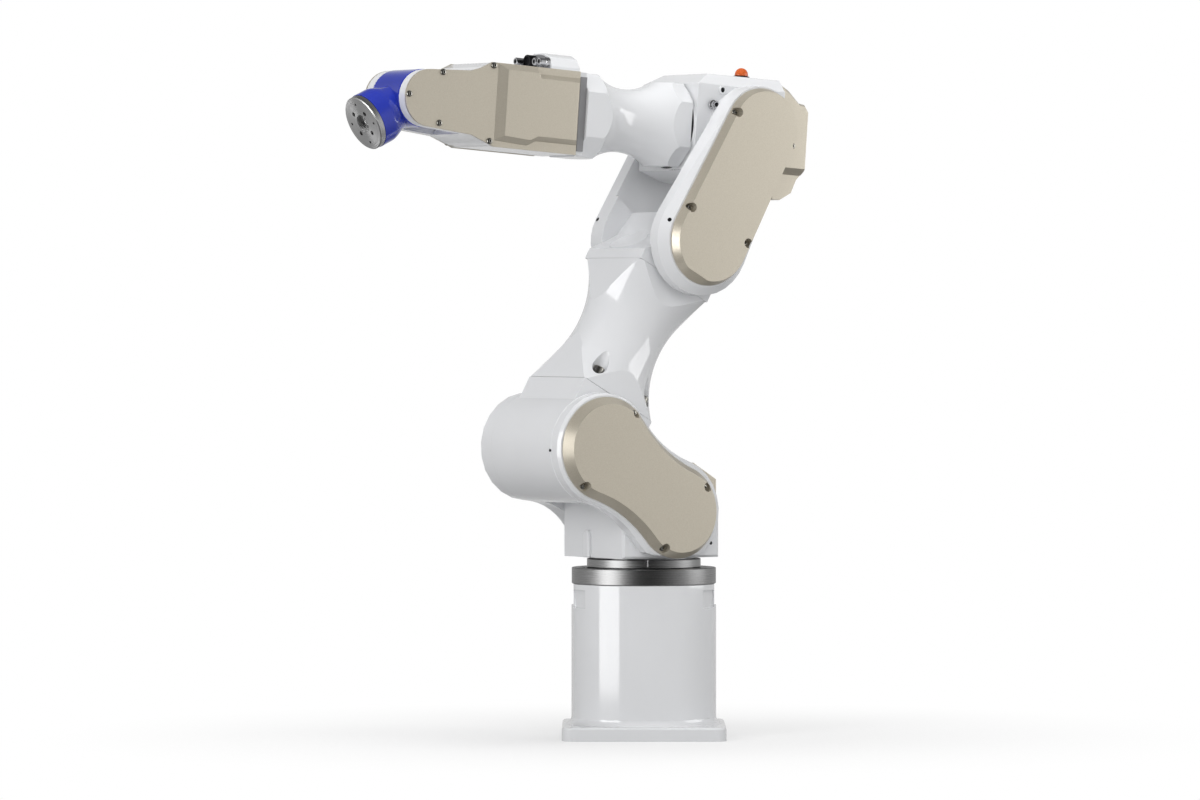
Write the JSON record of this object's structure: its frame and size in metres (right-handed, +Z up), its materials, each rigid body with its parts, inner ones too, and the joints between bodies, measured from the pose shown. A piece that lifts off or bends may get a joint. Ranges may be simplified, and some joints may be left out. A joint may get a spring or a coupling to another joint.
{
  "type": "six-axis robot arm",
  "caption": "Six-axis industrial robot arm with a bolt-down base, belt-driven shoulder and elbow under side covers, and a forked wrist that carries a round tool flange.",
  "frame": {"origin": "middle of the base's underside, on the first joint's vertical axis", "axes": "+Z up along the first joint; X and Y along the sides of the square base plate, with the connector panel on the +Y side; the arm stands turned 213 degrees from +X"},
  "size_m": [0.5053, 0.367, 0.7507],
  "materials": {
    "white_paint": "gloss enamel on cast aluminium",
    "cover_satin": "satin metallic champagne paint on covers",
    "wrist_blue": "deep blue gloss enamel",
    "turned_steel": "turned steel",
    "black_oxide": "blackened steel",
    "black_plastic": "moulded plastic",
    "motor_black": "black motor housing",
    "belt_rubber": "toothed belt rubber",
    "lamp_orange": "clear orange lens"
  },
  "bodies": {
    "base": {"base_casting": "white_paint", "base_connector_panel": "black_oxide", "base_power_connector": "black_plastic", "base_signal_connector": "black_plastic", "base_air_fitting_1": "turned_steel", "base_air_fitting_2": "turned_steel", "j1_reducer": "turned_steel", "j1_bearing_ring": "turned_steel"},
    "shoulder": {"j1_output_flange": "turned_steel", "shoulder_casting": "white_paint", "shoulder_rear_cover": "cover_satin", "j1_motor": "motor_black", "j2_belt_cover": "cover_satin", "j2_motor": "motor_black", "j2_drive_pulley": "turned_steel", "j2_driven_pulley": "turned_steel", "j2_belt": "belt_rubber"},
    "lower_arm": {"lower_arm_hub": "white_paint", "j2_reducer": "turned_steel", "j2_bearing": "turned_steel", "lower_arm_tube": "white_paint", "lower_arm_bolt_1": "black_oxide", "lower_arm_bolt_2": "black_oxide", "lower_arm_bolt_3": "black_oxide", "lower_arm_bolt_4": "black_oxide", "elbow_yoke": "white_paint", "j3_belt_cover": "cover_satin", "j3_motor": "motor_black", "j3_drive_pulley": "turned_steel", "j3_driven_pulley": "turned_steel", "j3_belt": "belt_rubber"},
    "elbow": {"elbow_casting": "white_paint", "j3_reducer": "turned_steel", "j3_bearing": "turned_steel", "j4_motor": "motor_black", "j4_reducer": "turned_steel", "elbow_rear_cover": "cover_satin", "signal_lamp_base": "black_plastic", "signal_lamp": "lamp_orange", "elbow_air_fitting": "turned_steel"},
    "forearm": {"forearm_tube": "white_paint", "wrist_housing": "white_paint", "wrist_cover_near": "cover_satin", "wrist_cover_far": "cover_satin", "wrist_connector_housing": "white_paint", "wrist_air_fitting_1": "turned_steel", "wrist_air_fitting_2": "turned_steel", "wrist_tool_connector": "black_oxide", "j5_motor": "motor_black", "j5_drive_pulley": "turned_steel", "j5_driven_pulley": "turned_steel", "j5_belt": "belt_rubber", "j6_motor": "motor_black", "j6_drive_pulley": "turned_steel", "j6_driven_pulley": "turned_steel", "j6_belt": "belt_rubber"},
    "wrist": {"wrist_body": "wrist_blue", "j6_reducer": "turned_steel"},
    "flange": {"tool_flange": "turned_steel"}
  },
  "joints": [
    {"name": "j1_waist", "type": "hinge", "parent": "base", "child": "shoulder", "pos_m": [0, 0, 0], "axis": [0, 0, 1], "range_deg": [-113.3, 226.7]},
    {"name": "j2_shoulder", "type": "hinge", "parent": "shoulder", "child": "lower_arm", "pos_m": [-0.08361, -0.05486, 0.32], "axis": [0.5486, -0.8361, 0], "range_deg": [-34.8, 165]},
    {"name": "j3_elbow", "type": "hinge", "parent": "lower_arm", "child": "elbow", "pos_m": [0.0797, 0.0523, 0.66907], "axis": [-0.5486, 0.8361, 0], "range_deg": [-25.2, 250.8]},
    {"name": "j4_forearm_roll", "type": "hinge", "parent": "elbow", "child": "forearm", "pos_m": [-0.25379, -0.16652, 0.69906], "axis": [-0.8337, -0.547, 0.075], "range_deg": [-200, 200]},
    {"name": "j5_wrist_bend", "type": "hinge", "parent": "forearm", "child": "wrist", "pos_m": [-0.25379, -0.16652, 0.69906], "axis": [0.5486, -0.8361, 0], "range_deg": [-138, 79]},
    {"name": "j6_tool_roll", "type": "hinge", "parent": "wrist", "child": "flange", "pos_m": [-0.25379, -0.16652, 0.69906], "axis": [-0.7559, -0.496, -0.4274], "range_deg": [-360, 360]}
  ]
}
